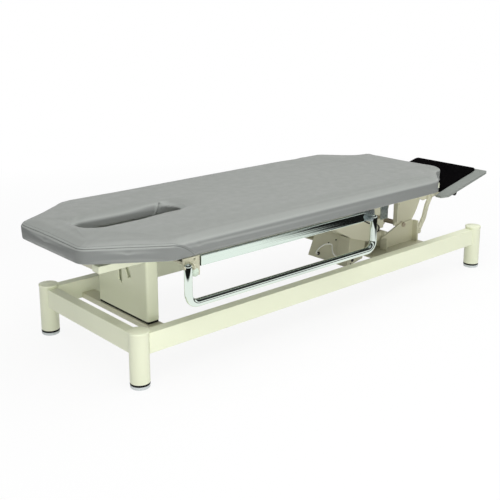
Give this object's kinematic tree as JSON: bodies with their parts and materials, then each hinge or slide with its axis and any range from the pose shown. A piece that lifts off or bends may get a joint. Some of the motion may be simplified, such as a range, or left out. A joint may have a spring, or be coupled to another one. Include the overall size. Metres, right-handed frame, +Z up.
{
  "type": "electric tilting treatment table",
  "caption": "Padded treatment table on a low steel base; the long top tilts up on a pivot at the foot end while links hold the foot plate's slope.",
  "frame": {"origin": "centre of the bounding box at floor level", "axes": "+X towards the foot end, +Y across the table, +Z up"},
  "size_m": [1.985, 0.699, 0.4456],
  "materials": {
    "beige_paint": "powder coat, semi-gloss, pale greenish beige",
    "beige_paint_shade": "powder coat, semi-gloss, pale greenish beige on folded sheet",
    "black_plastic": "matt black plastic",
    "black_rubber": "matt black rubber",
    "chrome": "polished chrome plate",
    "cushion_vinyl": "grey vinyl leather over foam, fine grain",
    "deck_wood": "plain plywood board",
    "foot_plate_grey": "grey textured plastic skin",
    "knob_pale": "pale green-beige plastic",
    "lead_white": "white cable sheath",
    "rod_cover": "warm grey plated steel",
    "steel": "bare turned steel",
    "zinc": "bright zinc plate"
  },
  "bodies": {
    "base": {"leg_head_near": "beige_paint", "leg_head_far": "beige_paint", "leg_foot_near": "beige_paint", "leg_foot_far": "beige_paint", "leg_plug_head_near": "black_rubber", "leg_plug_head_far": "black_rubber", "leg_plug_foot_near": "black_rubber", "leg_plug_foot_far": "black_rubber", "base_rail_near": "beige_paint", "base_rail_far": "beige_paint", "base_rail_head": "beige_paint", "base_beam": "beige_paint_shade", "base_plate": "beige_paint_shade", "pedestal": "beige_paint", "pedestal_pad": "black_rubber", "pedestal_rest_near": "black_rubber", "pedestal_rest_far": "black_rubber", "pivot_bracket_near": "beige_paint_shade", "pivot_bracket_far": "beige_paint_shade", "bracket_web": "beige_paint_shade", "pivot_shaft": "steel"},
    "levelling_foot_head_near": {"foot_head_near": "zinc"},
    "levelling_foot_head_far": {"foot_head_far": "zinc"},
    "levelling_foot_foot_near": {"foot_foot_near": "zinc"},
    "levelling_foot_foot_far": {"foot_foot_far": "zinc"},
    "top": {"frame_rail_near": "beige_paint", "frame_rail_far": "beige_paint", "frame_member_head": "beige_paint_shade", "frame_rest_strip": "beige_paint_shade", "frame_member_foot": "beige_paint_shade", "deck_board": "deck_wood", "cushion": "cushion_vinyl", "pivot_lug_near": "beige_paint_shade", "pivot_lug_far": "beige_paint_shade", "side_rail_near": "chrome", "side_rail_far": "chrome", "rail_mount_head_near": "beige_paint_shade", "rail_mount_head_far": "beige_paint_shade", "rail_mount_foot_near": "zinc", "rail_mount_foot_far": "zinc", "drive_cradle": "beige_paint_shade", "zinc_angle": "zinc", "foot_hinge_pin": "steel", "lead_dark": "black_plastic"},
    "step": {"foot_plate": "foot_plate_grey", "foot_mat": "black_rubber", "foot_arms": "beige_paint_shade", "foot_cap_near": "black_plastic", "foot_cap_far": "black_plastic"},
    "parallel_link_near": {"link_near": "beige_paint_shade"},
    "parallel_link_far": {"link_far": "beige_paint_shade"},
    "drive": {"drive_housing": "beige_paint_shade", "drive_motor": "beige_paint_shade", "actuator_tube": "steel", "lead_white": "lead_white"},
    "rod": {"push_rod": "rod_cover"},
    "bar_near": {"grab_bar_near": "chrome"},
    "bar_far": {"grab_bar_far": "chrome"},
    "clamp_knob_near": {"knob_near": "knob_pale"},
    "clamp_knob_far": {"knob_far": "knob_pale"}
  },
  "joints": [
    {"name": "tilt", "type": "hinge", "parent": "base", "child": "top", "pos_m": [0.5635, 0, 0.189], "axis": [0, 1, 0], "range_deg": [0, 75]},
    {"name": "foot_plate_hinge", "type": "hinge", "parent": "top", "child": "step", "pos_m": [0.6425, 0, 0.332], "axis": [0, 1, 0], "range_deg": [-75, 0]},
    {"name": "link_hinge_near", "type": "hinge", "parent": "base", "child": "parallel_link_near", "pos_m": [0.6545, -0.1, 0.146], "axis": [0, 1, 0], "range_deg": [0, 75]},
    {"name": "link_hinge_far", "type": "hinge", "parent": "base", "child": "parallel_link_far", "pos_m": [0.6545, 0.1, 0.146], "axis": [0, 1, 0], "range_deg": [0, 75]},
    {"name": "drive_trunnion", "type": "hinge", "parent": "top", "child": "drive", "pos_m": [0.0955, 0, 0.315], "axis": [0, 1, 0], "range_deg": [0, 8.25]},
    {"name": "rod_stroke", "type": "slide", "parent": "drive", "child": "rod", "axis": [0.902, 0, -0.4317], "range_m": [0, 0.1383]},
    {"name": "grab_bar_swing_near", "type": "hinge", "parent": "top", "child": "bar_near", "pos_m": [-0.3205, -0.337, 0.355], "axis": [-1, 0, 0], "range_deg": [0, 90]},
    {"name": "grab_bar_swing_far", "type": "hinge", "parent": "top", "child": "bar_far", "pos_m": [-0.3205, 0.337, 0.355], "axis": [1, 0, 0], "range_deg": [0, 90]},
    {"name": "knob_turn_near", "type": "hinge", "parent": "top", "child": "clamp_knob_near", "pos_m": [-0.6978, -0.33, 0.333], "axis": [0, -1, 0], "continuous": true},
    {"name": "knob_turn_far", "type": "hinge", "parent": "top", "child": "clamp_knob_far", "pos_m": [-0.6978, 0.33, 0.333], "axis": [0, 1, 0], "continuous": true},
    {"name": "levelling_head_near", "type": "slide", "parent": "base", "child": "levelling_foot_head_near", "axis": [0, 0, -1], "range_m": [0, 0.012]},
    {"name": "levelling_head_far", "type": "slide", "parent": "base", "child": "levelling_foot_head_far", "axis": [0, 0, -1], "range_m": [0, 0.012]},
    {"name": "levelling_foot_near", "type": "slide", "parent": "base", "child": "levelling_foot_foot_near", "axis": [0, 0, -1], "range_m": [0, 0.012]},
    {"name": "levelling_foot_far", "type": "slide", "parent": "base", "child": "levelling_foot_foot_far", "axis": [0, 0, -1], "range_m": [0, 0.012]}
  ],
  "couplings": [
    {"joint": "foot_plate_hinge", "follows": "tilt", "ratio": -1},
    {"joint": "link_hinge_near", "follows": "tilt", "ratio": 1},
    {"joint": "link_hinge_far", "follows": "tilt", "ratio": 1},
    {"joint": "drive_trunnion", "follows": "tilt", "ratio": 0.11},
    {"joint": "rod_stroke", "follows": "tilt", "m_per_rad": 0.1056}
  ]
}
